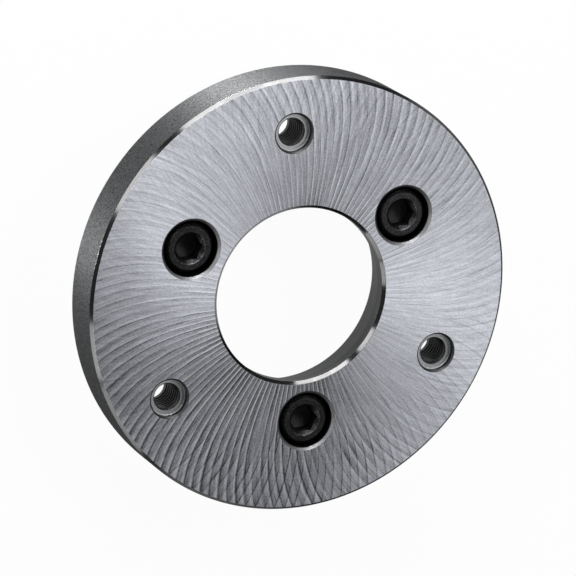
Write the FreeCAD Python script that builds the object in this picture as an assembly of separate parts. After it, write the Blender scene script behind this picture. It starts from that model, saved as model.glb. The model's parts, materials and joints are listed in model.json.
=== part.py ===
import FreeCAD, Part
import math
import os
from FreeCAD import Vector

# Chuck adapter plate: a turned steel disc that carries a lathe chuck on a short-taper spindle nose,
# with the three socket head cap screws that hold it on the spindle.
# Millimetres. +Z points to the chuck, and the origin is the centre of the back (spindle) face.

# Plate
PLATE_D = 140.0             # rim, the register that the chuck's recess fits over
PLATE_T = 17.0
RIM_CHAMFER = 1.0           # front and back edge of the rim, 45 degrees

# Bore: a plain land at the front, then the short taper, open at the back
LAND_D = 56.0
LAND_LENGTH = 4.5           # from the front face to the shoulder, with the chamfer in it
LAND_CHAMFER = 1.0
TAPER_GAUGE_D = 63.513      # large end, in the plane of the back face
TAPER_RATIO = 4.0           # one in four on the diameter
UNDERCUT_WIDTH = 2.0        # run-out groove between the taper and the shoulder
UNDERCUT_DEPTH = 0.5        # deeper than the small end of the taper

# Screws to the spindle: socket head cap screws in counterbores
SCREW_COUNT = 3
SCREW_PITCH_D = 82.6
SCREW_FIRST_ANGLE = 30.0
SCREW_D = 10.0              # plain neck under the head, and the thread's major diameter
SCREW_ROOT_D = 8.16         # root of the thread, which is left plain
SCREW_LENGTH = 20.0         # under the head
SCREW_NECK = 4.0            # under the head, where the thread doesn't reach
SCREW_END_CHAMFER = 0.5
HEAD_D = 16.2               # over the knurling
HEAD_H = 10.0
HEAD_TOP_CHAMFER = 1.2
SOCKET_FLATS = 8.0
SOCKET_DEPTH = 5.0
SOCKET_MOUTH_D = 10.4       # countersink round the hexagon
SOCKET_CONE_ANGLE = 120.0   # drill point at the bottom of the socket
HEAD_RECESS = 1.3           # head below the front face
HEAD_GAP = 0.9              # round the head, on the radius
NECK_GAP = 0.5              # round the neck, on the radius
COUNTERBORE_CHAMFER = 0.8
THROUGH_CHAMFER = 0.5       # clearance hole, at the back face

# Tapped holes for the screws that come through from the chuck
TAPPED_COUNT = 3
TAPPED_PITCH_D = 104.8
TAPPED_FIRST_ANGLE = 90.0
TAPPED_D = 10.0             # root of the thread, which is left plain
RELIEF_D = 12.0             # plain recess that keeps the first turn below the face
RELIEF_DEPTH = 2.3
RELIEF_CHAMFER = 0.5
TAPPED_BACK_CHAMFER = 0.6

UP = Vector(0, 0, 1)


def revolved(outline):
    """Solid of revolution about Z of a closed outline of (radius, height) points."""
    wire = Part.makePolygon([Vector(r, 0, z) for r, z in outline + outline[:1]])
    return Part.Face(wire).revolve(Vector(0, 0, 0), UP, 360)


def places(count, pitch_d, first_angle):
    """Centres of a bolt circle, in the plane z = 0."""
    for k in range(count):
        a = math.radians(first_angle + k * 360.0 / count)
        yield Vector(pitch_d / 2 * math.cos(a), pitch_d / 2 * math.sin(a), 0)


def disc():
    """The turned blank: rim, both faces, land, shoulder, undercut and short taper."""
    rim, land, gauge = PLATE_D / 2, LAND_D / 2, TAPER_GAUGE_D / 2
    shoulder = PLATE_T - LAND_LENGTH
    taper_end = shoulder - UNDERCUT_WIDTH
    small_end = gauge - taper_end / (2 * TAPER_RATIO)
    undercut = small_end + UNDERCUT_DEPTH
    return revolved([
        (gauge, 0), (rim - RIM_CHAMFER, 0), (rim, RIM_CHAMFER),
        (rim, PLATE_T - RIM_CHAMFER), (rim - RIM_CHAMFER, PLATE_T),
        (land + LAND_CHAMFER, PLATE_T), (land, PLATE_T - LAND_CHAMFER), (land, shoulder),
        (undercut, shoulder), (undercut, taper_end), (small_end, taper_end),
    ])


def stepped_hole(mouth_d, mouth_depth, mouth_chamfer, through_d, back_chamfer):
    """Cutter for a recess from the front face, with a smaller hole on through the plate."""
    mouth, through = mouth_d / 2, through_d / 2
    floor = PLATE_T - mouth_depth
    return revolved([
        (0, 0), (through + back_chamfer, 0), (through, back_chamfer), (through, floor),
        (mouth, floor), (mouth, PLATE_T - mouth_chamfer), (mouth + mouth_chamfer, PLATE_T),
        (0, PLATE_T),
    ])


def adapter_plate():
    screw_hole = stepped_hole(HEAD_D + 2 * HEAD_GAP, HEAD_H + HEAD_RECESS, COUNTERBORE_CHAMFER,
                              SCREW_D + 2 * NECK_GAP, THROUGH_CHAMFER)
    tapped_hole = stepped_hole(RELIEF_D, RELIEF_DEPTH, RELIEF_CHAMFER,
                               TAPPED_D, TAPPED_BACK_CHAMFER)
    cutters = [screw_hole.translated(p)
               for p in places(SCREW_COUNT, SCREW_PITCH_D, SCREW_FIRST_ANGLE)]
    cutters += [tapped_hole.translated(p)
                for p in places(TAPPED_COUNT, TAPPED_PITCH_D, TAPPED_FIRST_ANGLE)]
    return disc().cut(cutters)


def hexagon(flats, height):
    """Hexagonal prism on the plane z = 0, two corners on the X axis."""
    corner = flats / math.sqrt(3)
    points = [Vector(corner * math.cos(math.radians(60 * k)),
                     corner * math.sin(math.radians(60 * k)), 0) for k in range(7)]
    return Part.Face(Part.makePolygon(points)).extrude(UP * height)


def socket():
    """Cutter for the hexagon socket, with its drill point and mouth countersink, top at z = 0."""
    inner = SOCKET_FLATS / 2
    point = inner / math.tan(math.radians(SOCKET_CONE_ANGLE / 2))
    corner = SOCKET_FLATS / math.sqrt(3)
    mouth = SOCKET_MOUTH_D / 2
    prism = hexagon(SOCKET_FLATS, SOCKET_DEPTH).translated(Vector(0, 0, -SOCKET_DEPTH))
    cone = revolved([(0, -SOCKET_DEPTH - point), (inner, -SOCKET_DEPTH), (0, -SOCKET_DEPTH)])
    countersink = revolved([(0, corner - mouth), (corner, corner - mouth), (mouth, 0), (0, 0)])
    return prism.fuse([cone, countersink])


def cap_screw():
    """One screw, head seat at z = 0 and thread downwards."""
    head, neck, root = HEAD_D / 2, SCREW_D / 2, SCREW_ROOT_D / 2
    blank = revolved([
        (0, -SCREW_LENGTH), (root - SCREW_END_CHAMFER, -SCREW_LENGTH),
        (root, SCREW_END_CHAMFER - SCREW_LENGTH), (root, root - neck - SCREW_NECK),
        (neck, -SCREW_NECK), (neck, 0), (head, 0),
        (head, HEAD_H - HEAD_TOP_CHAMFER), (head - HEAD_TOP_CHAMFER, HEAD_H), (0, HEAD_H),
    ])
    return blank.cut(socket().translated(Vector(0, 0, HEAD_H)))


def cap_screws():
    """The three screws, heads seated on the floors of the counterbores."""
    seat = PLATE_T - HEAD_RECESS - HEAD_H
    one = cap_screw()
    return Part.Compound([one.translated(p + UP * seat)
                          for p in places(SCREW_COUNT, SCREW_PITCH_D, SCREW_FIRST_ANGLE)])


os.makedirs("parts", exist_ok=True)
for name, shape in (("adapter_plate", adapter_plate()), ("cap_screws", cap_screws())):
    shape.exportStep("parts/" + name + ".step")
    box = shape.BoundBox
    print("%-14s solids %d valid %s volume %.0f mm3 z %.2f to %.2f"
          % (name, len(shape.Solids), shape.isValid(), shape.Volume, box.ZMin, box.ZMax))
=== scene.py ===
import json
import math

import bpy
from mathutils import Matrix, Quaternion, Vector
from mathutils.geometry import delaunay_2d_cdt

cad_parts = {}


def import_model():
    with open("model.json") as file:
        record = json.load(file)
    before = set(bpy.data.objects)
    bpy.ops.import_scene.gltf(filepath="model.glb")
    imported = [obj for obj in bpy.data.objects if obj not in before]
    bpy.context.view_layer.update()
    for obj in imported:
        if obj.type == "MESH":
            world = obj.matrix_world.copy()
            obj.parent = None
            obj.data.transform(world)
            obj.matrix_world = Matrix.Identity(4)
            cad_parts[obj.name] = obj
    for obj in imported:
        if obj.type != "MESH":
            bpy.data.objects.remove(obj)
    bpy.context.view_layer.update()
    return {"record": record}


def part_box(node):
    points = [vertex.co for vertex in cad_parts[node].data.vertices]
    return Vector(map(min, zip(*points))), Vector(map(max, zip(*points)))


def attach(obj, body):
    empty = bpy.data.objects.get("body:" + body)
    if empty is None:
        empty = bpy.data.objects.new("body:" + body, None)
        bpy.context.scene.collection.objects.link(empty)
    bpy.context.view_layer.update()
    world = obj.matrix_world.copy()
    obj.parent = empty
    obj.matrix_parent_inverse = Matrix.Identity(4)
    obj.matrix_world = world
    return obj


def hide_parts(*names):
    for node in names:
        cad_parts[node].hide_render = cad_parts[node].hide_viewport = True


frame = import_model()

MM = 0.001                      # the forms below are built in millimetres


# Sizes from the frame

def mount(name):
    return next(m for m in frame["record"]["mounts"] if m["name"] == name)


def bolt_circle(name, first_angle):
    """Centres of a mount's bolt circle in millimetres, from its first angle in degrees."""
    dims = mount(name)["dims"]
    for k in range(dims["count"]):
        a = math.radians(first_angle + 360.0 * k / dims["count"])
        yield dims["pcd_mm"] / 2 * math.cos(a), dims["pcd_mm"] / 2 * math.sin(a)


_, plate_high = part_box("adapter_plate")
screw_low, screw_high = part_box("cap_screws")
RIM_R = plate_high.x / MM
FRONT_Z = plate_high.z / MM
FLOOR_Z = screw_low.z           # metres: the part stands on the screw ends
TAPPED_FIRST_ANGLE = 90.0       # degrees from +X
SCREW_FIRST_ANGLE = 30.0
TAPPED_CENTRES = list(bolt_circle("chuck_screws", TAPPED_FIRST_ANGLE))
SCREW_CENTRES = list(bolt_circle("spindle_screws", SCREW_FIRST_ANGLE))

# Plate, in millimetres
RIM_CHAMFER = 1.0
LAND_R = mount("bar_bore")["dims"]["r_mm"]
LAND_LENGTH = 4.5
LAND_CHAMFER = 1.0
TAPER_R = 63.513 / 2
TAPER_SLOPE = 1 / 8.0           # on the radius
UNDERCUT_WIDTH = 2.0
UNDERCUT_DEPTH = 0.5
COUNTERBORE_R = 9.0
COUNTERBORE_CHAMFER = 0.8
THROUGH_R = 5.5
THROUGH_CHAMFER = 0.5
TAPPED_R = mount("chuck_screws")["dims"]["hole_r_mm"]
THREAD_INNER_R = 4.19           # crests of the thread in the tapped holes
THREAD_BREAK = 0.3              # countersink where that thread starts
THREAD_EDGE_R = 0.05            # broken edge of that countersink
THREAD_MOUTH = 0.05             # plain wall between a countersink and that thread
RELIEF_R = 6.0
RELIEF_FLOOR_Z = mount("chuck_screws")["pos_m"][2] / MM
RELIEF_CHAMFER = 0.5
TAPPED_BACK_CHAMFER = 0.6

# Screws, in millimetres
SCREW_R = 5.0
SCREW_ROOT_R = mount("spindle_screws")["dims"]["stud_r_mm"]
SCREW_NECK = 4.0
SCREW_END_CHAMFER = 0.5
HEAD_R = 8.1
HEAD_H = 10.0
HEAD_TOP_CHAMFER = 1.2
HEAD_CORNER_R = 0.3             # rounding between the head's side and its chamfer
HEAD_TOP_R = 0.25               # rounding between the chamfer and the top
SOCKET_INNER_R = 4.0
SOCKET_MOUTH_R = 5.2
SOCKET_DEPTH = 5.0
MOUTH_EDGE = 0.25               # lighter part of the countersink, at its mouth: rubbed wear and also a painted highlight
DRILL_HALF_ANGLE = math.radians(60)     # of the drill point at the bottom of the socket
SOCKET_POINT = SOCKET_INNER_R / math.tan(DRILL_HALF_ANGLE)
KNURL_TEETH = 48
KNURL_DEPTH = 0.25
KNURL_START = 0.4               # plain band between the seat and the knurling
KNURL_RISE = 0.1                # how far the knurling runs up past the foot of the top's chamfer
HEAD_TOP_Z = screw_high.z / MM
SEAT_Z = HEAD_TOP_Z - HEAD_H
SCREW_END_Z = screw_low.z / MM

THREAD_PITCH = 1.5
THREAD_RUNOUT = 0.8             # turns in which a thread grows to its full height
THREAD_SPARE = 4                # steps that a thread stays short of the room that it has
SCREW_BAND = 0.1                # plain band at each end of the screw's thread
BREAK = 0.12                    # radius of a broken edge
TOOL_R = 0.3                    # radius left in an inner corner
ARC_STEP = math.radians(16)     # largest step round a rounded corner
WIDE_RING, RING = 1.0, 0.5      # ring of the level face that is turned with a wide or a narrow edge
RIM_STEPS, BORE_STEPS, COUNTERBORE_STEPS, TAPPED_STEPS, HEAD_STEPS = 384, 288, 144, 96, 192


# Surface building

class Skin:
    """Collects faces with a normal at each corner, and welds them into one mesh."""

    def __init__(self):
        self.points, self.found = [], {}
        self.faces, self.normals, self.finishes = [], [], []

    def vertex(self, point):
        key = tuple(round(c, 4) for c in point)
        if key not in self.found:
            self.found[key] = len(self.points)
            self.points.append(Vector(point) * MM)
        return self.found[key]

    def face(self, corners, finish):
        """Adds a face of (point, normal) corners, turned to look the way its normals do."""
        kept = []
        for point, normal in corners:
            index = self.vertex(point)
            if index not in [k for k, _ in kept]:
                kept.append((index, normal))
        if len(kept) < 3:
            return
        around = Vector((0, 0, 0))
        for (a, _), (b, _) in zip(kept, kept[1:] + kept[:1]):
            around += (self.points[a] / MM).cross(self.points[b] / MM)
        if around.length < 1e-7:
            return
        if around.dot(sum((n for _, n in kept), Vector((0, 0, 0)))) < 0:
            kept.reverse()
        self.faces.append([k for k, _ in kept])
        self.normals += [n for _, n in kept]
        self.finishes.append(finish)

    def build(self, name, materials):
        mesh = bpy.data.meshes.new(name)
        mesh.from_pydata(self.points, [], self.faces)
        for material in materials:
            mesh.materials.append(material)
        mesh.polygons.foreach_set("material_index", self.finishes)
        mesh.shade_smooth()
        mesh.normals_split_custom_set(self.normals)
        piece = bpy.data.objects.new(name, mesh)
        bpy.context.scene.collection.objects.link(piece)
        return piece


def spot(centre, radius, z, step, steps):
    """A point on a circle, at one of its even steps."""
    a = 2 * math.pi * (step % steps) / steps
    return (centre[0] + radius * math.cos(a), centre[1] + radius * math.sin(a), z)


def lean(outward, up, step, steps):
    """A normal that leans outward and up at one of the circle's even steps."""
    a = 2 * math.pi * (step % steps) / steps
    return Vector((outward * math.cos(a), outward * math.sin(a), up)).normalized()


def rounded(corners):
    """Points (radius, z, outward, up, finish) along an outline of (radius, z, rounding, finish).

    The normal is on the right of the way the outline runs. A finish holds up to the next corner.
    """
    out = []
    runs = [Vector((b[0] - a[0], b[1] - a[1])) for a, b in zip(corners, corners[1:])]
    for k, (r, z, rounding, finish) in enumerate(corners):
        before = runs[k - 1].normalized() if k > 0 else None
        after = runs[k].normalized() if k < len(runs) else None
        if before is None or after is None:
            way = after or before
            out.append((r, z, way.y, -way.x, finish))
            continue
        turn = before.angle_signed(after)
        cut = rounding * math.tan(abs(turn) / 2)
        side = 1 if before.x * after.y - before.y * after.x > 0 else -1
        normal = Vector((before.y, -before.x))
        start = Vector((r, z)) - before * cut
        middle = start - normal * rounding * side
        parts = max(2, math.ceil(abs(turn) / ARC_STEP))
        for i in range(parts + 1):
            bend = normal.copy()
            bend.rotate(Matrix.Rotation(side * abs(turn) * i / parts, 2))
            place = middle + bend * rounding * side
            out.append((place.x, place.y, bend.x, bend.y, finish))
    return out


def turned(skin, centre, outline, steps):
    """A surface of revolution about a vertical axis."""
    for a, b in zip(outline, outline[1:]):
        for j in range(steps):
            skin.face([(spot(centre, p[0], p[1], i, steps), lean(p[2], p[3], i, steps))
                       for p, i in ((a, j), (a, j + 1), (b, j + 1), (b, j))], a[4])


def flat(skin, z, up, finish, outer, holes):
    """A level face between an outer circle and holes, each (centre, radius, steps)."""
    points, edges = [], []
    for centre, radius, steps in [outer] + holes:
        first = len(points)
        points += [Vector(spot(centre, radius, z, i, steps)[:2]) for i in range(steps)]
        edges += [(first + i, first + (i + 1) % steps) for i in range(steps)]
    found, _, triangles, _, _, _ = delaunay_2d_cdt(points, edges, [], 0, 1e-7)
    normal = Vector((0, 0, up))
    for triangle in triangles:
        middle = sum((found[i] for i in triangle), Vector((0, 0))) / 3
        if all((middle - Vector(c)).length > r * math.cos(math.pi / n) for c, r, n in holes):
            skin.face([((found[i].x, found[i].y, z), normal) for i in triangle], finish)


def thread(skin, centre, inner_r, outer_r, side, low, high, steps, finish):
    """A screw thread between two level rings of the inner radius, and run out to it at both ends.

    The side is 1 for a screw, whose surface looks outwards, and -1 for a tapped hole.
    """
    flank = (outer_r - inner_r) * math.tan(math.radians(30))
    outer = THREAD_PITCH / 8
    inner = THREAD_PITCH - outer - 2 * flank
    section = [(0, 0), (inner / 2, 0), (inner / 2 + flank, 1), (inner / 2 + flank + outer, 1),
               (THREAD_PITCH - inner / 2, 0), (THREAD_PITCH, 0)]
    count = int((high - low - THREAD_PITCH) / THREAD_PITCH * steps) - THREAD_SPARE
    start = low + (high - low - THREAD_PITCH * (1 + count / steps)) / 2
    runout = THREAD_RUNOUT * steps

    def point(i, k):
        full = min(1.0, i / runout, (count - i) / runout)
        z, height = section[k]
        radius = inner_r + (outer_r - inner_r) * height * full
        return spot(centre, radius, start + THREAD_PITCH * i / steps + z, i, steps)

    def normal(i, k):
        """The normal of the stretch after corner k of the section."""
        full = min(1.0, i / runout, (count - i) / runout)
        (z0, h0), (z1, h1) = section[k], section[k + 1]
        rise = (outer_r - inner_r) * (h1 - h0) * full
        return lean(side * (z1 - z0), -side * rise, i, steps)

    def level(i):
        return lean(side, 0, i, steps)

    last = len(section) - 1
    for i in range(count):
        for k in range(last):
            skin.face([(point(i, k), normal(i, k)), (point(i + 1, k), normal(i + 1, k)),
                       (point(i + 1, k + 1), normal(i + 1, k)), (point(i, k + 1), normal(i, k))],
                      finish)
    for i in range(steps):
        bottom = [spot(centre, inner_r, low, i, steps), spot(centre, inner_r, low, i + 1, steps)]
        if i < steps - 1:
            edge = [point(i + 1, 0), point(i, 0)]
        else:
            edge = [point(0, k) for k in range(last + 1)] + [point(i, 0)]
        skin.face([(p, level(i)) for p in bottom + edge], finish)
    for i in range(count - steps, count):
        top = [spot(centre, inner_r, high, i + 1, steps), spot(centre, inner_r, high, i, steps)]
        edge = [point(i, last), point(i + 1, last)]
        if i == count - steps:
            edge = [point(count, k) for k in range(last, 0, -1)] + edge
        skin.face([(p, level(i)) for p in edge + top], finish)


# Materials

MARKS = 132                     # tool marks round the face
NEAR_BORE, NEAR_RIM = 30.0, 60.0        # radii in millimetres between which the marks change
STROKE_MIDDLE = 36.0            # radius in millimetres where a stroke runs straight outwards
STROKE_BEND = math.radians(0.0055)      # turn of a stroke for each square millimetre past it
RETURN_BEND = 0.75              # share of that bend in the return stroke
DEEP_PAINTED_SHADE_SIDES = math.radians(60.0)         # the marks' bump and their painted shading are strongest on this side and on the one opposite
DEEPEST_PAINTED_SHADE_SIDE = math.radians(225.0)         # and strongest of all round here
CROSSED_SIDE = math.radians(285.0)      # the return stroke is deepest here, and shows opposite too
FACE_RELIEF = 0.000014          # metres, height of the marks on the face
GRAIN_RELIEF = 0.00001          # metres, height of the grain on turned and black surfaces
CHATTER_RELIEF = 0.0000008      # metres, height of the ripple on a freshly cut edge


class Tree:
    """A short way to write a material's nodes."""

    def __init__(self, name):
        self.material = bpy.data.materials.new(name)
        self.material.use_nodes = True
        self.nodes, self.links = self.material.node_tree.nodes, self.material.node_tree.links
        self.surface = self.nodes["Principled BSDF"]

    def put(self, value, socket):
        if isinstance(value, bpy.types.NodeSocket):
            self.links.new(value, socket)
        else:
            socket.default_value = value

    def add(self, kind, output=0, inputs=None, **settings):
        node = self.nodes.new(kind)
        for key, value in settings.items():
            setattr(node, key, value)
        for key, value in (inputs or {}).items():
            self.put(value, node.inputs[key])
        return node.outputs[output]

    def calc(self, operation, *values):
        return self.add("ShaderNodeMath", 0, dict(enumerate(values)), operation=operation)

    def vector(self, x, y, z):
        return self.add("ShaderNodeCombineXYZ", 0, {0: x, 1: y, 2: z})

    def noise(self, vector, scale, detail=2.0, rough=0.5):
        """Noise about zero, from -0.5 to 0.5."""
        value = self.add("ShaderNodeTexNoise", 0,
                         {"Vector": vector, "Scale": scale, "Detail": detail, "Roughness": rough})
        return self.calc("SUBTRACT", value, 0.5)

    def ramp(self, value, low, high, out_low, out_high):
        return self.add("ShaderNodeMapRange", 0,
                        {0: value, 1: low, 2: high, 3: out_low, 4: out_high})

    def place(self):
        return self.add("ShaderNodeTexCoord", "Object")

    def polar(self):
        """Radius in millimetres, angle, height in millimetres, and the place itself."""
        place = self.place()
        apart = self.nodes.new("ShaderNodeSeparateXYZ")
        self.links.new(place, apart.inputs[0])
        x, y, z = apart.outputs
        square = self.calc("ADD", self.calc("MULTIPLY", x, x), self.calc("MULTIPLY", y, y))
        radius = self.calc("MULTIPLY", self.calc("SQRT", square), 1000.0)
        return radius, self.calc("ARCTAN2", y, x), self.calc("MULTIPLY", z, 1000.0), place

    def around(self, angle, cycles, along):
        """A point for noise that runs cycles times round the axis with no seam."""
        size = cycles / (2 * math.pi)
        return self.vector(self.calc("MULTIPLY", self.calc("COSINE", angle), size),
                           self.calc("MULTIPLY", self.calc("SINE", angle), size), along)

    def bump(self, height, depth):
        """Bump from a height in units of depth, in metres."""
        normal = self.add("ShaderNodeBump", 0, {"Strength": 1.0, "Distance": depth,
                                                "Height": height})
        self.links.new(normal, self.surface.inputs["Normal"])

    def metal(self, color, roughness, anisotropic=0.0, turn=None, edge=1.0):
        """Bare metal. The edge is its share of the shine at a glancing angle."""
        self.put(1.0, self.surface.inputs["Metallic"])
        self.put((edge, edge, edge, 1.0), self.surface.inputs["Specular Tint"])
        self.put(color, self.surface.inputs["Base Color"])
        self.put(roughness, self.surface.inputs["Roughness"])
        self.put(anisotropic, self.surface.inputs["Anisotropic"])
        if turn is not None:
            self.put(turn, self.surface.inputs["Anisotropic Rotation"])
            tangent = self.add("ShaderNodeTangent", direction_type="RADIAL", axis="Z")
            self.links.new(tangent, self.surface.inputs["Tangent"])


def marks(t, turned, radius, patch, mirrored):
    """Tool marks evenly round the face, as (scallop, groove) sockets along the turned angle.

    The scallop is each mark's height and also its painted shading: it brightens towards one side
    of each mark, in a narrow ridge near the bore and over the whole mark at the rim, then falls off
    softly, and is zero on average. The groove is 1 in a mark's dark line, a dip in height that is
    also painted as a dark line. The marks drift from their even places, fray a little, and fade in
    patches: the patch is how far they are from fading. Mirrored marks brighten towards the other
    side.
    """
    drift = t.noise(t.around(turned, 34.0, t.calc("MULTIPLY", radius, 0.01)), 1.0)
    fray = t.noise(t.around(turned, 560.0, t.calc("MULTIPLY", radius, 0.15)), 1.0)
    count = t.calc("MULTIPLY", turned, MARKS / (2 * math.pi))
    count = t.calc("ADD", count, t.calc("MULTIPLY", drift, 0.5))
    count = t.calc("ADD", count, t.calc("MULTIPLY", fray, 0.22))
    count = t.calc("FLOORED_MODULO", count, MARKS)
    across = t.calc("FRACT", count)
    if mirrored:
        across = t.calc("SUBTRACT", 1.0, across)
    power = t.ramp(radius, NEAR_BORE, NEAR_RIM, 5.0, 1.2)
    fall = t.calc("MULTIPLY", t.calc("SUBTRACT", 1.0, across),
                  t.ramp(radius, NEAR_BORE, NEAR_RIM, 20.0, 5.0))
    mean = t.calc("DIVIDE", t.ramp(radius, NEAR_BORE, NEAR_RIM, 0.88, 0.82),
                  t.calc("ADD", power, 1.0))
    ridge = t.calc("MINIMUM", t.calc("POWER", across, power), fall)
    scallop_and_shade = t.calc("SUBTRACT", ridge, mean)
    width = t.calc("MULTIPLY", radius, 2 * math.pi / MARKS)
    groove_and_shade = t.ramp(t.calc("MULTIPLY", across, width), 0.1, 0.35, 1.0, 0.0)
    reach = t.noise(t.around(turned, 110.0, t.calc("MULTIPLY", radius, 0.05)), 1.0)
    strength = t.ramp(t.calc("ADD", reach, patch), -0.2, 0.2, 0.0, 1.0)
    # The scallop's height and its painted shading are 2.3 times as strong at the bore, down to
    # plain at 44 mm.
    scallop_and_shade = t.calc("MULTIPLY", scallop_and_shade, t.ramp(radius, NEAR_BORE, 44.0, 2.3, 1.0))
    return t.calc("MULTIPLY", scallop_and_shade, strength), t.calc("MULTIPLY", groove_and_shade, strength)


def ground_face():
    """Face ground in long curved strokes from the bore outwards, crossed by a return stroke."""
    t = Tree("ground_face")
    radius, angle, _, place = t.polar()
    out = t.calc("SUBTRACT", radius, STROKE_MIDDLE)
    bend = t.calc("MULTIPLY", t.calc("MULTIPLY", out, out), STROKE_BEND)
    stroke = t.calc("SUBTRACT", angle, bend)
    back_stroke = t.calc("ADD", angle, t.calc("MULTIPLY", bend, RETURN_BEND))
    # How strong the marks are round the face: it sets their bump and also how strongly their
    # painted shading and painted dark lines show, strongest on two opposite sides and most round
    # one.
    two_sides = t.calc("COSINE", t.calc("MULTIPLY", t.calc("SUBTRACT", angle, DEEP_PAINTED_SHADE_SIDES), 2.0))
    one_side = t.calc("COSINE", t.calc("SUBTRACT", angle, DEEPEST_PAINTED_SHADE_SIDE))
    depth = t.calc("ADD", t.calc("MULTIPLY", two_sides, 0.5), t.calc("MULTIPLY", one_side, 0.4))
    depth = t.calc("MAXIMUM", t.calc("ADD", depth, 0.5), 0.15)
    line_depth_and_shade = t.calc("ADD", t.calc("MULTIPLY", depth, 0.7), 0.2)
    fine_depth_and_shade = t.ramp(depth, 0.15, 0.9, 0.65, 1.15)
    scallop_and_shade, groove_and_shade = marks(t, stroke, radius, 0.1, False)
    past_crossed = t.calc("SUBTRACT", angle, CROSSED_SIDE)
    both_sides = t.calc("COSINE", t.calc("MULTIPLY", past_crossed, 2.0))
    crossed = t.calc("ADD", t.ramp(radius, 42.0, 58.0, -0.3, 0.15),
                     t.ramp(both_sides, -0.7, 0.4, -0.35, 0.1))
    back_depth_and_shade = t.calc("MULTIPLY", line_depth_and_shade, t.ramp(t.calc("COSINE", past_crossed),
                                                       -0.5, 0.7, 0.35, 1.0))
    back_scallop_and_shade, back_groove_and_shade = marks(t, back_stroke, radius, crossed, True)
    streak = t.noise(t.around(stroke, 430.0, t.calc("MULTIPLY", radius, 0.05)), 1.0, 2.0, 0.7)
    hair = t.noise(t.around(stroke, 760.0, t.calc("MULTIPLY", radius, 0.12)), 1.0, 2.0, 0.7)
    back_hair = t.noise(t.around(back_stroke, 640.0, t.calc("MULTIPLY", radius, 0.08)), 1.0)
    grain = t.noise(place, 1900.0, 2.0, 0.7)
    height, tone = 0.0, 0.0
    # Each part adds to the height by its rise and to the colour by its shine; in the colour the
    # scallops and grooves are painted shading and painted dark lines, the streaks, hairs and grain
    # random tone.
    for part, amount, rise, shine in (
            (scallop_and_shade, depth, 0.4, 1.2), (groove_and_shade, line_depth_and_shade, -0.5, -0.65),
            (back_scallop_and_shade, back_depth_and_shade, 0.2, 0.5), (back_groove_and_shade, back_depth_and_shade, -0.5, -0.9),
            (streak, fine_depth_and_shade, 0.7, 0.9), (hair, fine_depth_and_shade, 0.7, 1.2),
            (back_hair, fine_depth_and_shade, 0.3, 0.6), (grain, fine_depth_and_shade, 0.6, 1.1)):
        part = t.calc("MULTIPLY", part, amount)
        height = t.calc("ADD", t.calc("MULTIPLY", part, rise), height)
        tone = t.calc("ADD", t.calc("MULTIPLY", part, shine), tone)
    t.bump(height, FACE_RELIEF)
    slope = t.calc("MULTIPLY", t.calc("MULTIPLY", out, radius), 2 * STROKE_BEND)
    turn = t.calc("DIVIDE", t.calc("ARCTANGENT", slope), 2 * math.pi)
    shade = t.calc("MULTIPLY", t.calc("MAXIMUM", t.calc("ADD", tone, 1.0), 0.2), 0.55)
    color = t.add("ShaderNodeCombineColor", 0, {0: shade, 1: t.calc("MULTIPLY", shade, 1.02),
                                               2: t.calc("MULTIPLY", shade, 1.11)})
    t.metal(color, 0.42, 0.78, turn)
    return t.material


def turned_steel(name, shade, roughness, spread, mottle=0.35, pitch=None, edge=1.0):
    """Satin surface with fine marks that run round the axis.

    With a pitch, the radius of the tapped holes' circle, they run round the nearest of its holes.
    """
    t = Tree(name)
    radius, angle, height, place = t.polar()
    if pitch is not None:
        share = 2 * math.pi / len(TAPPED_CENTRES)
        start = math.radians(TAPPED_FIRST_ANGLE) - share / 2
        past = t.calc("FLOORED_MODULO", t.calc("SUBTRACT", angle, start), share)
        past = t.calc("SUBTRACT", past, share / 2)
        x = t.calc("SUBTRACT", t.calc("MULTIPLY", radius, t.calc("COSINE", past)), pitch)
        y = t.calc("MULTIPLY", radius, t.calc("SINE", past))
        square = t.calc("ADD", t.calc("MULTIPLY", x, x), t.calc("MULTIPLY", y, y))
        radius = t.calc("SQRT", square)
    grain = t.noise(place, 1700.0, 3.0, 0.7)
    rings = t.noise(t.vector(0.0, t.calc("MULTIPLY", radius, 4.0),
                             t.calc("MULTIPLY", height, 4.0)), 1.0, 3.0, 0.7)
    t.bump(t.calc("ADD", grain, rings), GRAIN_RELIEF)
    tone = t.ramp(t.calc("ADD", grain, t.calc("MULTIPLY", rings, 0.4)), -0.25, 0.25,
                  shade * (1 - mottle), shade * (1 + mottle))
    color = t.add("ShaderNodeCombineColor", 0, {0: tone, 1: t.calc("MULTIPLY", tone, 1.02),
                                               2: t.calc("MULTIPLY", tone, 1.04)})
    t.metal(color, roughness, spread, 0.25, edge)
    return t.material


def bright_cut(name, shade, edge):
    """Freshly cut edge, nearly a mirror."""
    t = Tree(name)
    _, angle, height, _ = t.polar()
    chatter = t.noise(t.around(angle, 300.0, t.calc("MULTIPLY", height, 3.0)), 1.0)
    t.bump(chatter, CHATTER_RELIEF)
    tone = t.ramp(chatter, -0.3, 0.3, shade * 0.9, shade * 1.1)
    color = t.add("ShaderNodeCombineColor", 0, {0: tone, 1: tone, 2: tone})
    t.metal(color, 0.13, edge=edge)
    return t.material


def black_oxide(name, shade, roughness, speckle):
    """Black finish with specks where it is rubbed thin."""
    t = Tree(name)
    place = t.place()
    grain = t.noise(place, 1500.0, 4.0, 0.6)
    t.bump(grain, GRAIN_RELIEF)
    specks = t.ramp(t.noise(place, 2600.0, 1.0), 0.06, 0.2, 0.0, shade * speckle)
    tone = t.calc("ADD", t.ramp(grain, -0.3, 0.3, shade * 0.6, shade * 1.4), specks)
    color = t.add("ShaderNodeCombineColor", 0, {0: tone, 1: tone,
                                               2: t.calc("MULTIPLY", tone, 1.05)})
    t.metal(color, roughness)
    return t.material


# Plate

FACE, RIM, BORE, CUT, HOLE, RELIEF, BACK, HOLE_EDGE, BORE_CUT = range(9)


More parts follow.
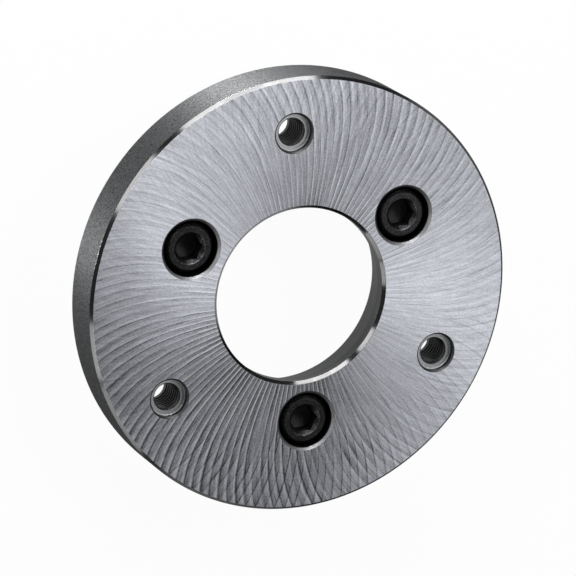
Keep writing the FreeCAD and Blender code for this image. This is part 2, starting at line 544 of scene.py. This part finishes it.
def adapter_plate(materials):
    skin = Skin()
    middle = (0.0, 0.0)
    shoulder = FRONT_Z - LAND_LENGTH
    taper_end = shoulder - UNDERCUT_WIDTH
    small_end = TAPER_R - taper_end * TAPER_SLOPE
    undercut = small_end + UNDERCUT_DEPTH
    rim = rounded([
        (RIM_R - RIM_CHAMFER - WIDE_RING, 0, 0, BACK), (RIM_R - RIM_CHAMFER, 0, BREAK, CUT),
        (RIM_R, RIM_CHAMFER, BREAK, RIM), (RIM_R, FRONT_Z - RIM_CHAMFER, BREAK, CUT),
        (RIM_R - RIM_CHAMFER, FRONT_Z, BREAK, FACE),
        (RIM_R - RIM_CHAMFER - WIDE_RING, FRONT_Z, 0, FACE),
    ])
    bore = rounded([
        (LAND_R + LAND_CHAMFER + WIDE_RING, FRONT_Z, 0, FACE),
        (LAND_R + LAND_CHAMFER, FRONT_Z, BREAK, BORE_CUT),
        (LAND_R, FRONT_Z - LAND_CHAMFER, BREAK, BORE), (LAND_R, shoulder, BREAK, BORE),
        (undercut, shoulder, TOOL_R, BORE), (undercut, taper_end, TOOL_R, BORE),
        (small_end, taper_end, BREAK, BORE), (TAPER_R, 0, BREAK, BACK),
        (TAPER_R + WIDE_RING, 0, 0, BACK),
    ])
    counterbore = rounded([
        (COUNTERBORE_R + COUNTERBORE_CHAMFER + RING, FRONT_Z, 0, FACE),
        (COUNTERBORE_R + COUNTERBORE_CHAMFER, FRONT_Z, BREAK, HOLE_EDGE),
        (COUNTERBORE_R, FRONT_Z - COUNTERBORE_CHAMFER, BREAK, HOLE),
        (COUNTERBORE_R, SEAT_Z, TOOL_R, HOLE), (THROUGH_R, SEAT_Z, BREAK, HOLE),
        (THROUGH_R, THROUGH_CHAMFER, BREAK, CUT), (THROUGH_R + THROUGH_CHAMFER, 0, BREAK, BACK),
        (THROUGH_R + THROUGH_CHAMFER + RING, 0, 0, BACK),
    ])
    thread_top = RELIEF_FLOOR_Z - THREAD_BREAK - THREAD_MOUTH
    back_mouth = TAPPED_R + TAPPED_BACK_CHAMFER
    thread_foot = back_mouth - THREAD_INNER_R + THREAD_MOUTH
    relief = rounded([
        (RELIEF_R + RELIEF_CHAMFER + RING, FRONT_Z, 0, FACE),
        (RELIEF_R + RELIEF_CHAMFER, FRONT_Z, BREAK, HOLE),
        (RELIEF_R, FRONT_Z - RELIEF_CHAMFER, BREAK, HOLE),
        (RELIEF_R, RELIEF_FLOOR_Z, TOOL_R, RELIEF),
        (THREAD_INNER_R + THREAD_BREAK, RELIEF_FLOOR_Z, THREAD_EDGE_R, HOLE),
        (THREAD_INNER_R, RELIEF_FLOOR_Z - THREAD_BREAK, 0, HOLE),
        (THREAD_INNER_R, thread_top, 0, HOLE),
    ])
    tapped_back = rounded([
        (THREAD_INNER_R, thread_foot, 0, HOLE),
        (THREAD_INNER_R, thread_foot - THREAD_MOUTH, 0, CUT),
        (back_mouth, 0, BREAK, BACK), (back_mouth + RING, 0, 0, BACK),
    ])
    turned(skin, middle, rim, RIM_STEPS)
    turned(skin, middle, bore, BORE_STEPS)
    for centre in SCREW_CENTRES:
        turned(skin, centre, counterbore, COUNTERBORE_STEPS)
    for centre in TAPPED_CENTRES:
        turned(skin, centre, relief, TAPPED_STEPS)
        thread(skin, centre, THREAD_INNER_R, TAPPED_R, -1, thread_foot, thread_top,
               TAPPED_STEPS, HOLE)
        turned(skin, centre, tapped_back, TAPPED_STEPS)
    for z, up, finish, end in ((FRONT_Z, 1, FACE, 0), (0, -1, BACK, -1)):
        holes = [(middle, bore[end][0], BORE_STEPS)]
        holes += [(c, counterbore[end][0], COUNTERBORE_STEPS) for c in SCREW_CENTRES]
        tapped_edge = relief[0][0] if up > 0 else tapped_back[-1][0]
        holes += [(c, tapped_edge, TAPPED_STEPS) for c in TAPPED_CENTRES]
        flat(skin, z, up, finish, (middle, rim[end][0], RIM_STEPS), holes)
    return skin.build("plate", materials)


# Screws

HEAD, SOCKET, EDGE = range(3)


def hexagon_r(step):
    """Radius of the socket's hexagon at a step round the head, with corners on the X axis."""
    a = 2 * math.pi * step / HEAD_STEPS % (math.pi / 3)
    return SOCKET_INNER_R / math.cos(a - math.pi / 6)


def socket(skin, centre):
    """Countersink, hexagon and drill point, down from the lighter edge of the head's mouth, which
    is rubbed wear and also a painted highlight.
    """
    mouth_r = SOCKET_MOUTH_R - MOUTH_EDGE
    floor = HEAD_TOP_Z - SOCKET_DEPTH
    tip = (centre[0], centre[1], floor - SOCKET_POINT)
    for j in range(HEAD_STEPS):
        pair = (j, j + 1)
        mouth = [spot(centre, mouth_r, HEAD_TOP_Z - MOUTH_EDGE, i, HEAD_STEPS) for i in pair]
        edge = [spot(centre, hexagon_r(i), HEAD_TOP_Z - SOCKET_MOUTH_R + hexagon_r(i), i,
                     HEAD_STEPS) for i in pair]
        foot = [spot(centre, hexagon_r(i), floor, i, HEAD_STEPS) for i in pair]
        drill = [spot(centre, SOCKET_INNER_R, floor, i, HEAD_STEPS) for i in pair]
        cone = [lean(-1, 1, i, HEAD_STEPS) for i in pair]
        side = (math.floor(6 * (j + 0.5) / HEAD_STEPS) + 0.5) * math.pi / 3
        wall = Vector((-math.cos(side), -math.sin(side), 0))
        up = Vector((0, 0, 1))
        point = [lean(-math.cos(DRILL_HALF_ANGLE), math.sin(DRILL_HALF_ANGLE), i, HEAD_STEPS)
                 for i in pair]
        skin.face([(mouth[0], cone[0]), (mouth[1], cone[1]), (edge[1], cone[1]),
                   (edge[0], cone[0])], HEAD)
        skin.face([(edge[0], wall), (edge[1], wall), (foot[1], wall), (foot[0], wall)], SOCKET)
        skin.face([(foot[0], up), (foot[1], up), (drill[1], up), (drill[0], up)], SOCKET)
        skin.face([(drill[0], point[0]), (drill[1], point[1]), (tip, up)], SOCKET)


def knurl(skin, centre, low, high):
    """Straight knurling round the head, between two plain rings."""
    per_tooth = HEAD_STEPS // KNURL_TEETH

    def ridge(step):
        return HEAD_R - KNURL_DEPTH * (step % per_tooth in (0, 1))

    plain = HEAD_R - KNURL_DEPTH
    for j in range(HEAD_STEPS):
        outward = lean(1, 0, j, HEAD_STEPS)
        rows = [(low, plain, plain), (low + KNURL_DEPTH, ridge(j), ridge(j + 1)),
                (high - KNURL_DEPTH, ridge(j), ridge(j + 1)), (high, plain, plain)]
        for (z0, a0, b0), (z1, a1, b1) in zip(rows, rows[1:]):
            corners = [spot(centre, a0, z0, j, HEAD_STEPS), spot(centre, b0, z0, j + 1, HEAD_STEPS),
                       spot(centre, b1, z1, j + 1, HEAD_STEPS), spot(centre, a1, z1, j, HEAD_STEPS)]
            across = (Vector(corners[1]) - Vector(corners[0])).cross(
                Vector(corners[3]) - Vector(corners[0])).normalized()
            if across.dot(outward) < 0:
                across.negate()
            skin.face([(c, across) for c in corners], HEAD)


def cap_screw(name, centre, materials):
    skin = Skin()
    end_top = SCREW_END_Z + SCREW_END_CHAMFER
    thread_foot = end_top + SCREW_BAND
    neck_foot = SEAT_Z - SCREW_NECK - (SCREW_R - SCREW_ROOT_R)
    thread_top = neck_foot - SCREW_BAND
    plain = HEAD_R - KNURL_DEPTH
    knurl_low, knurl_high = SEAT_Z + KNURL_START, HEAD_TOP_Z - HEAD_TOP_CHAMFER + KNURL_RISE
    chamfer_foot = HEAD_TOP_Z - HEAD_TOP_CHAMFER + HEAD_CORNER_R
    turned(skin, centre, rounded([
        (0, SCREW_END_Z, 0, HEAD), (SCREW_ROOT_R - SCREW_END_CHAMFER, SCREW_END_Z, BREAK, HEAD),
        (SCREW_ROOT_R, end_top, 0, HEAD), (SCREW_ROOT_R, thread_foot, 0, HEAD),
    ]), TAPPED_STEPS)
    thread(skin, centre, SCREW_ROOT_R, SCREW_R, 1, thread_foot, thread_top, TAPPED_STEPS, HEAD)
    turned(skin, centre, rounded([
        (SCREW_ROOT_R, thread_top, 0, HEAD), (SCREW_ROOT_R, neck_foot, 0, HEAD),
        (SCREW_R, SEAT_Z - SCREW_NECK, BREAK, HEAD), (SCREW_R, SEAT_Z, 0, HEAD),
    ]), TAPPED_STEPS)
    flat(skin, SEAT_Z, -1, HEAD, (centre, plain - BREAK, HEAD_STEPS),
         [(centre, SCREW_R, TAPPED_STEPS)])
    turned(skin, centre, rounded([
        (plain - BREAK, SEAT_Z, 0, HEAD), (plain, SEAT_Z + BREAK, 0, HEAD),
        (plain, knurl_low, 0, HEAD),
    ]), HEAD_STEPS)
    knurl(skin, centre, knurl_low, knurl_high)
    turned(skin, centre, rounded([
        (plain, knurl_high, 0, HEAD), (plain, chamfer_foot, HEAD_CORNER_R, HEAD),
        (HEAD_R - HEAD_TOP_CHAMFER, HEAD_TOP_Z, HEAD_TOP_R, HEAD),
        (SOCKET_MOUTH_R, HEAD_TOP_Z, BREAK, EDGE),
        (SOCKET_MOUTH_R - MOUTH_EDGE, HEAD_TOP_Z - MOUTH_EDGE, 0, EDGE),
    ]), HEAD_STEPS)
    socket(skin, centre)
    return skin.build(name, materials)


# Stage

# The camera of the photograph, fitted to the rim, the bore and the six holes
VIEW_AZIMUTH = 140.34           # degrees from +X, of the side that the camera stands on
VIEW_ELEVATION = 61.906
VIEW_ROLL = 123.8               # the photograph shows the plate stood on its rim
VIEW_DISTANCE = 1.36976
VIEW_LENS = 275.0
VIEW_ASIDE = -0.004082          # of the aim from the front face's centre, to the picture's right
VIEW_ABOVE = 0.002397


def camera():
    azimuth, elevation = math.radians(VIEW_AZIMUTH), math.radians(VIEW_ELEVATION)
    back = Vector((math.cos(elevation) * math.cos(azimuth),
                   math.cos(elevation) * math.sin(azimuth), math.sin(elevation)))
    level_right = Vector((0, 0, 1)).cross(back).normalized()
    level_up = back.cross(level_right)
    roll = math.radians(VIEW_ROLL)
    right = level_right * math.cos(roll) + level_up * math.sin(roll)
    up = back.cross(right)
    aim = Vector((0, 0, plate_high.z)) + right * VIEW_ASIDE + up * VIEW_ABOVE
    data = bpy.data.cameras.new("camera")
    data.lens = VIEW_LENS
    data.sensor_width = 36.0
    data.clip_start, data.clip_end = 0.05, 20.0
    view = bpy.data.objects.new("camera", data)
    view.matrix_world = Matrix((right, up, back)).transposed().to_4x4()
    view.location = aim + back * VIEW_DISTANCE
    bpy.context.scene.collection.objects.link(view)
    bpy.context.scene.camera = view


# Softboxes: name, azimuth, elevation, distance, width, height, tilt in degrees, watts
SOFTBOXES = (
    ("top_right", 40.0, 50.0, 0.90, 0.32, 0.32, 0.0, 2.25),
    ("right", 0.0, 50.0, 0.90, 0.32, 0.32, 0.0, 0.68),
    ("right_near", 0.0, 65.0, 0.35, 0.14, 0.14, 0.0, 0.084),
    ("low_right", 320.0, 30.0, 0.90, 0.32, 0.32, 0.0, 0.40),
    ("low", 280.0, 50.0, 0.90, 0.32, 0.32, 0.0, 0.24),
    ("top_strip", 69.0, 17.2, 0.90, 0.28, 0.12, 17.0, 1.15),
    ("top_middle", 86.0, 21.9, 0.90, 0.28, 0.12, 13.0, 1.05),
    ("top_left", 103.5, 25.1, 0.90, 0.26, 0.12, 10.0, 1.15),
    ("left", 140.0, 27.8, 0.90, 0.36, 0.13, 0.0, 1.05),
    ("lower_left", 206.0, 19.0, 0.90, 0.32, 0.12, -17.0, 0.46),
    ("bottom", 231.0, 11.4, 0.90, 0.42, 0.12, -18.0, 0.43),
    ("rim_strip", 90.0, 4.0, 0.90, 0.25, 0.08, 0.0, 12.5),
    ("rim_side", 168.0, 4.0, 0.90, 0.16, 0.08, 0.0, 6.0),
)
WORLD_LIGHT = 0.12
WHITE_SHARE = 0.95              # of the background, for camera, glossy and transmitted rays
FLOOR_HALF = 3.0                # metres, half the floor's width


def softbox(name, azimuth, elevation, distance, width, height, tilt, watts):
    data = bpy.data.lights.new(name, "AREA")
    data.shape, data.size, data.size_y, data.energy = "RECTANGLE", width, height, watts
    lamp = bpy.data.objects.new(name, data)
    a, e = math.radians(azimuth), math.radians(elevation)
    way = Vector((math.cos(e) * math.cos(a), math.cos(e) * math.sin(a), math.sin(e)))
    lamp.location = way * distance
    turn = Quaternion((0, 0, 1), math.radians(tilt))
    lamp.rotation_euler = (way.to_track_quat("Z", "Y") @ turn).to_euler()
    bpy.context.scene.collection.objects.link(lamp)


def seen_white(nodes, links):
    """The share of white that camera, glossy and transmitted rays add to the background."""
    path = nodes.new("ShaderNodeLightPath")
    total = path.outputs["Is Camera Ray"]
    for ray in ("Is Glossy Ray", "Is Transmission Ray"):
        more = nodes.new("ShaderNodeMath")
        more.operation, more.use_clamp = "MAXIMUM", True
        links.new(total, more.inputs[0])
        links.new(path.outputs[ray], more.inputs[1])
        total = more.outputs[0]
    share = nodes.new("ShaderNodeMath")
    share.operation = "MULTIPLY"
    links.new(total, share.inputs[0])
    share.inputs[1].default_value = WHITE_SHARE
    return share.outputs[0]


def floor():
    mesh = bpy.data.meshes.new("floor")
    corners = [(x * FLOOR_HALF, y * FLOOR_HALF, FLOOR_Z)
               for x, y in ((-1, -1), (1, -1), (1, 1), (-1, 1))]
    mesh.from_pydata(corners, [], [(0, 1, 2, 3)])
    t = Tree("floor")
    t.put((0.9, 0.9, 0.9, 1), t.surface.inputs["Base Color"])
    t.put(1.0, t.surface.inputs["Roughness"])
    t.put(0.0, t.surface.inputs["Specular IOR Level"])
    white = t.nodes.new("ShaderNodeEmission")
    mix = t.nodes.new("ShaderNodeMixShader")
    t.links.new(seen_white(t.nodes, t.links), mix.inputs[0])
    t.links.new(t.surface.outputs[0], mix.inputs[1])
    t.links.new(white.outputs[0], mix.inputs[2])
    t.links.new(mix.outputs[0], t.nodes["Material Output"].inputs["Surface"])
    mesh.materials.append(t.material)
    piece = bpy.data.objects.new("floor", mesh)
    bpy.context.scene.collection.objects.link(piece)


def world():
    sky = bpy.data.worlds.new("world")
    sky.use_nodes = True
    sky.node_tree.nodes["Background"].inputs["Color"].default_value = (1, 1, 1, 1)
    sky.node_tree.nodes["Background"].inputs["Strength"].default_value = WORLD_LIGHT
    bpy.context.scene.world = sky


camera()
bpy.context.scene.view_settings.view_transform = "Standard"

pitch = math.hypot(*TAPPED_CENTRES[0])
# All of these are one steel. The rim, the bore, the holes' walls, the counterbores' edges and the
# cut edges are given far darker colours than the face, as painted shade for their darker
# surroundings and recesses; the low glancing shine (edge) of the rim and of the rim's cut edge is
# painted shade too.
steel = [ground_face(), turned_steel("satin_rim", 0.1, 0.57, 0.8, 0.8, edge=0.1),
         turned_steel("turned_bore", 0.048, 0.45, 0.5), bright_cut("rim_cut", 0.095, 0.3),
         turned_steel("bored_hole", 0.042, 0.45, 0.0),
         turned_steel("relief_floor", 0.46, 0.5, 0.0, 0.35, pitch),
         turned_steel("ground_back", 0.6, 0.38, 0.5), turned_steel("hole_edge", 0.17, 0.5, 0.0),
         bright_cut("bore_cut", 0.112, 1.0)]
# The rubbed edge is a lighter black oxide for the socket's mouth: rubbed wear, and also a painted
# highlight along that edge.
black = [black_oxide("black_oxide", 0.026, 0.4, 3.0), black_oxide("black_socket", 0.03, 0.6, 1.0),
         black_oxide("rubbed_edge", 0.055, 0.35, 3.0)]

plate = adapter_plate(steel)
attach(plate, "root")
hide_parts("adapter_plate")
for number, centre in enumerate(SCREW_CENTRES, 1):
    screw = cap_screw("cap_screw_%d" % number, centre, black)
    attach(screw, "root")
    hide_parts("cap_screws")

for softbox_row in SOFTBOXES:
    softbox(*softbox_row)
floor()
world()
